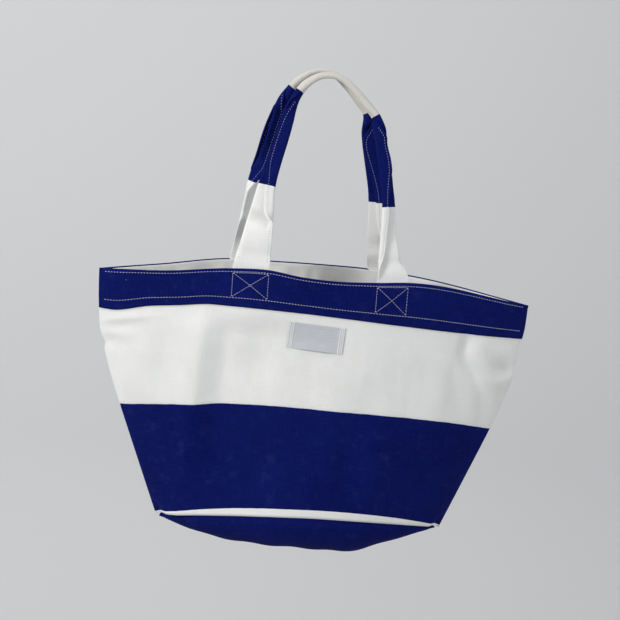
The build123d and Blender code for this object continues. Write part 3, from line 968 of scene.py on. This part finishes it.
class Finish:
    """A material with a Principled shader, and one method that adds any other node."""

    def __init__(self, name, **constants):
        self.material = bpy.data.materials.new(name)
        self.material.use_nodes = True
        self.nodes = self.material.node_tree.nodes
        self.links = self.material.node_tree.links
        self.shader = self.nodes["Principled BSDF"]
        for socket, value in constants.items():
            self.shader.inputs[socket.replace("_", " ")].default_value = value

    def node(self, kind, settings=None, inputs=None, output=0):
        made = self.nodes.new(kind)
        for key, value in (settings or {}).items():
            setattr(made, key, value)
        for key, value in (inputs or {}).items():
            self.feed(made.inputs[key], value)
        return Value(self, made.outputs[output])

    def feed(self, socket, value):
        if isinstance(value, Value):
            self.links.new(value.socket, socket)
        else:
            socket.default_value = value

    def cloth(self):
        """Place on the flat cloth in millimetres: across and down."""
        uv = self.node("ShaderNodeUVMap", {"uv_map": "cloth"})
        split = self.node("ShaderNodeSeparateXYZ", inputs={0: uv})
        across = split * 1000
        down = Value(self, split.socket.node.outputs[1]) * 1000
        return uv, across, down

    def noise(self, place, scale, detail=2.0, roughness=0.55):
        inputs = {"Vector": place, "Scale": scale, "Detail": detail, "Roughness": roughness}
        return self.node("ShaderNodeTexNoise", inputs=inputs)

    def stretch(self, place, x, y, z=1.0):
        return self.node("ShaderNodeMapping", inputs={"Vector": place, "Scale": (x, y, z)})

    def fit(self, value, low, high, new_low=0.0, new_high=1.0):
        """Value stretched from low..high to new_low..new_high, and cut off at both ends."""
        inputs = {0: value, 1: low, 2: high, 3: new_low, 4: new_high}
        return self.node("ShaderNodeMapRange", inputs=inputs)

    def mix(self, share, first, second):
        """The second colour over the first, by share."""
        inputs = {0: share, 6: first, 7: second}
        return self.node("ShaderNodeMix", {"data_type": "RGBA"}, inputs, output=2)

    def bump(self, height, distance, strength=1.0, under=None):
        inputs = {"Height": height, "Distance": distance, "Strength": strength}
        if under is not None:
            inputs["Normal"] = under
        return self.node("ShaderNodeBump", inputs=inputs)

    def finish(self, **varying):
        for socket, value in varying.items():
            self.feed(self.shader.inputs[socket.replace("_", " ")], value)
        return self.material


# %% [markdown]
# ### Canvas
# Plain weave: threads 0.8 mm apart go over and under each other, so the cloth is a chequerboard
# of small pillows. Thicker places in the yarn show as short streaks along both directions. Blue
# canvas also has small patches of rubbed, lighter thread and a few specks of white lint.

# %% Canvas material
WEAVE = 0.8


def ridges(value, pitch):
    """Rounded ridges from 0 to 1, one every pitch millimetres."""
    return (value * (np.pi / pitch)).math("SINE").math("ABSOLUTE")


def weave(finish, across, down, pitch=WEAVE):
    """Height of a plain weave from 0 to 1: warp and weft ridges, each on top in every other cell."""
    warp = ridges(across, pitch)
    weft = ridges(down, pitch)
    squares = (across * (1 / pitch)).math("FLOOR") + (down * (1 / pitch)).math("FLOOR")
    cell = squares.math("MULTIPLY", 0.5).math("FRACT").above(0.25)
    return warp * cell + weft * (1 - cell)


def canvas(name, stripes, roughness=0.86, handled=None):
    """Canvas whose blue parts are given by a function of the place on the cloth, and so is the part
    that hands have darkened."""
    finish = Finish(name, Sheen_Weight=0.008, Sheen_Roughness=0.5, Specular_IOR_Level=0.03)
    uv, across, down = finish.cloth()
    place = finish.node("ShaderNodeTexCoord", output=3)
    threads = weave(finish, across, down)
    streak_down = finish.noise(finish.stretch(uv, 1400, 55), 1.0, 2.0)
    streak_across = finish.noise(finish.stretch(uv, 55, 1400), 1.0, 2.0)
    slubs = finish.fit(streak_down + streak_across, 0.86, 1.3)
    cloudy = finish.noise(place, 16.0, 4.0)
    fuzz = finish.noise(place, 900.0, 2.0)
    blue = stripes(finish, across, down)
    rubbed = finish.fit(finish.noise(place, 75.0, 5.0, 0.7), 0.55, 0.78)
    clouds = finish.fit(cloudy, 0.3, 0.75)
    white_side = finish.mix(clouds, (0.78, 0.785, 0.765, 1), (0.83, 0.83, 0.815, 1))
    white_side = finish.mix(slubs * 0.35, white_side, (0.68, 0.675, 0.64, 1))
    if handled:
        worn = handled(finish, across, down) * 0.85
        white_side = finish.mix(worn, white_side, (0.56, 0.53, 0.48, 1))
    white_side = finish.mix((1 - threads) * 0.30, white_side, (0.50, 0.49, 0.46, 1))
    blue_side = finish.mix(clouds, (0.0016, 0.0048, 0.078, 1), (0.0035, 0.0082, 0.105, 1))
    blue_side = finish.mix(slubs * 0.5, blue_side, (0.010, 0.018, 0.16, 1))
    blue_side = finish.mix((1 - threads) * 0.45, blue_side, (0.0006, 0.0016, 0.035, 1))
    blue_side = finish.mix(rubbed * 0.16, blue_side, (0.05, 0.06, 0.22, 1))
    lint = finish.node("ShaderNodeTexVoronoi", inputs={"Vector": place, "Scale": 34.0})
    blue_side = finish.mix(lint.below(0.012), blue_side, (0.25, 0.28, 0.42, 1))
    colour = finish.mix(blue, white_side, blue_side)
    coarse = finish.bump(finish.noise(place, 130.0, 3.0), 0.0004, 0.25)
    yarn = finish.bump(slubs, 0.00012, 0.6, coarse)
    pillows = finish.bump(threads + fuzz * 0.4, 0.00016, 0.8, yarn)
    return finish.finish(
        Base_Color=colour,
        Roughness=finish.fit(cloudy + slubs * 0.3, 0.3, 1.0, roughness - 0.06, roughness + 0.06),
        Normal=pillows,
    )


def between(value, low, high):
    """1 between low and high, and 0 elsewhere."""
    return value.above(low) * value.below(high)


def panel_stripes(finish, across, down):
    """Blue hem band from the rim to 43 mm and blue lower band from 153 to 262 mm. The edge of a
    band wanders by a thread or so."""
    uv, _, _ = finish.cloth()
    wander = finish.noise(finish.stretch(uv, 160, 160), 1.0) * 0.5
    depth = down * -1 + wander - 0.25
    return between(depth, -20, HEM_AT) + between(depth, BAND_AT, STRIPE_AT)


def all_blue(finish, across, down):
    return 1.0


def all_white(finish, across, down):
    return 0.0


STRAP_END = float(from_left[-1] + from_right[-1])  # the right rim, along the strap from the left


def strap_stripes(finish, across, down):
    """White from the rim, blue above it, and white again on the grip. Places along the strap are
    measured from the left rim."""
    left = between(down, WHITE_LEFT, WHITE_LEFT + BLUE_LEFT)
    right = between(down, STRAP_END - WHITE_RIGHT - BLUE_RIGHT, STRAP_END - WHITE_RIGHT)
    return left + right


def grip_part(finish, across, down):
    """The rolled grip, between the two blue bands of the strap."""
    return between(down, WHITE_LEFT + BLUE_LEFT, STRAP_END - WHITE_RIGHT - BLUE_RIGHT)


striped = canvas("striped_canvas", panel_stripes)
plain_blue = canvas("blue_canvas", all_blue)
plain_white = canvas("white_canvas", all_white)
strap_cloth = canvas("strap_canvas", strap_stripes, 0.8, grip_part)

# %% Thread, tape and satin
def fine_finish(finish, fine, tone, roughness, bump):
    """Ends a small material: its colour, a roughness that follows the fine threads, and a bump
    given by height, distance and strength."""
    rough = finish.fit(fine, 0.3, 0.7, *roughness)
    return finish.finish(Base_Color=tone, Roughness=rough, Normal=finish.bump(*bump))


def thread_finish(name, colour):
    """Cotton thread: a fine twist along the stitch, and a slight shine."""
    finish = Finish(name, Sheen_Weight=0.25, Specular_IOR_Level=0.35)
    place = finish.node("ShaderNodeTexCoord", output=3)
    fibre = finish.noise(finish.stretch(place, 3200, 3200, 3200), 1.0, 2.0)
    shade = tuple(c * 0.8 for c in colour[:3]) + (1,)
    tone = finish.mix(finish.fit(fibre, 0.3, 0.7), shade, colour)
    return fine_finish(finish, fibre, tone, (0.55, 0.72), (fibre, 0.0001, 0.5))


def satin_finish(name):
    """Satin weave: long fine threads along the label, a soft sheen and two thin woven lines."""
    finish = Finish(name, Sheen_Weight=0.35, Specular_IOR_Level=0.5)
    uv, across, down = finish.cloth()
    ribs = ridges(down, 0.28)
    fine = finish.noise(finish.stretch(uv, 90, 2600), 1.0, 2.0)
    lines = between(down.math("ABSOLUTE"), 10.6, 11.1) * across.math("ABSOLUTE").below(23.5)
    tone = finish.mix(finish.fit(fine, 0.3, 0.7), (0.43, 0.445, 0.47, 1), (0.54, 0.555, 0.58, 1))
    tone = finish.mix((1 - ribs) * 0.25, tone, (0.44, 0.46, 0.5, 1))
    tone = finish.mix(lines * 0.28, tone, (0.30, 0.33, 0.42, 1))
    return fine_finish(finish, fine, tone, (0.34, 0.46), (ribs + fine * 0.5, 0.00008, 0.7))


def tape_finish(name):
    """Cotton tape with a fine rib across it."""
    finish = Finish(name, Sheen_Weight=0.15)
    uv, across, down = finish.cloth()
    ribs = ridges(down, 0.9)
    fine = finish.noise(finish.stretch(uv, 900, 900), 1.0, 2.0)
    tone = finish.mix(finish.fit(fine, 0.3, 0.7), (0.62, 0.62, 0.59, 1), (0.76, 0.76, 0.74, 1))
    tone = finish.mix((1 - ribs) * 0.3, tone, (0.45, 0.44, 0.41, 1))
    return fine_finish(finish, fine, tone, (0.8, 0.92), (ribs, 0.0002, 0.7))


white_thread = thread_finish("white_thread", (0.66, 0.67, 0.70, 1))
label_thread = thread_finish("label_thread", (0.80, 0.80, 0.79, 1))
strap_thread = thread_finish("strap_thread", (0.36, 0.37, 0.48, 1))
satin = satin_finish("label_satin")
tape = tape_finish("cotton_tape")

# %% [markdown]
# ## What each piece is
# Every piece gets its material and says which CAD piece it stands for, which is hidden.
# The bag's pieces ride on the bag and each cord on its loop; a strap and its stitching are
# not attached to a body.

# %% Dress every piece, and say what it rides on and what it replaces
def dress(piece, material, slot, *replaced, body="bag"):
    """Give a piece its material and body, and name the CAD pieces that it replaces, which are hidden. The
    slot is not used.
    """
    piece.data.materials.clear()
    piece.data.materials.append(material)
    if body:
        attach(piece, body)
    if replaced:
        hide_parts(*replaced)


for side_name in panels:
    dress(panels[side_name], striped, "striped_canvas", f"{side_name}_panel")
    dress(facings[side_name], plain_white, "white_canvas", f"{side_name}_rim_facing")
dress(base, plain_blue, "blue_canvas", "base_panel")
for node, piece in tapes.items():
    dress(piece, tape, "binding_tape", node)
dress(label, satin, "woven_label", "label")

for side_name, way in SIDES:
    strap = handles[side_name][0]
    dress(strap, strap_cloth, "strap_canvas", f"{side_name}_handle", f"{side_name}_strap_ends", body=None)
    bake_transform(strap)
    rows = thread[f"{side_name}_handle_stitching"]
    dress(rows, strap_thread, "white_thread", f"{side_name}_handle_stitching", body=None)
    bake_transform(rows)

rim_rows = ("rim_top_stitching", "rim_lower_stitching")
for node in (*rim_rows, "front_box_stitching", "back_box_stitching"):
    dress(thread[node], white_thread, "white_thread", node)
dress(thread["label_stitching"], label_thread, "white_thread", "label_stitching")

for side_name, cord in cords.items():
    dress(cord, tape, "cotton_cord", f"{side_name}_grip_cord", body=f"{side_name}_loop")

# %% [markdown]

# %% [markdown]
# ## Studio
# A pale sweep is floor and wall in one. A bright soft light stands on the left, a weaker one on the
# right, and a third hangs above. A dim bluish sky fills the shadows.

# %% Studio: sweep, lights and sky
def sweep():
    """Floor and wall in one: flat in front, a quarter circle, then straight up."""
    floor, radius, wall = -1100.0, 500.0, 1400.0
    turn = np.linspace(0, np.pi / 2, 24)
    y = np.concatenate([[-2500, -400], wall - radius + radius * np.sin(turn), [wall]])
    z = np.concatenate([[floor, floor], floor + radius - radius * np.cos(turn), [2600]])
    x = np.array([-3500.0, 3500.0])
    points = np.stack(np.broadcast_arrays(x[None, :], y[:, None], z[:, None]), -1)
    return grid_object("floor", points, points[..., :2])


stage = sweep()
stage_finish = Finish("pale_paper", Roughness=0.9)
stage.data.materials.append(stage_finish.finish(Base_Color=(0.62, 0.625, 0.63, 1)))


def soft_light(name, place, aim, size, power, colour):
    """Round area light at a place, turned towards aim."""
    data = bpy.data.lights.new(name, "AREA")
    data.shape, data.size, data.energy, data.color = "DISK", size, power, colour
    lamp = bpy.data.objects.new(name, data)
    lamp.location = place
    lamp.rotation_euler = (Vector(aim) - Vector(place)).to_track_quat("-Z", "Y").to_euler()
    bpy.context.scene.collection.objects.link(lamp)


AIM = (0.0, 0.0, -0.3)
soft_light("key", (-2.1, -1.3, 0.8), AIM, 0.9, 59, (1.0, 0.995, 0.985))
soft_light("fill", (1.9, -1.6, 0.3), AIM, 1.5, 20, (0.96, 0.975, 1.0))
soft_light("top", (0.1, -0.2, 1.7), AIM, 1.0, 11, (1.0, 1.0, 1.0))
bpy.context.scene.view_settings.view_transform = "Standard"

sky = bpy.data.worlds.new("sky")
bpy.context.scene.world = sky
sky.use_nodes = True
background = sky.node_tree.nodes["Background"]
background.inputs["Color"].default_value = (0.93, 0.96, 1.0, 1)
background.inputs["Strength"].default_value = 0.36
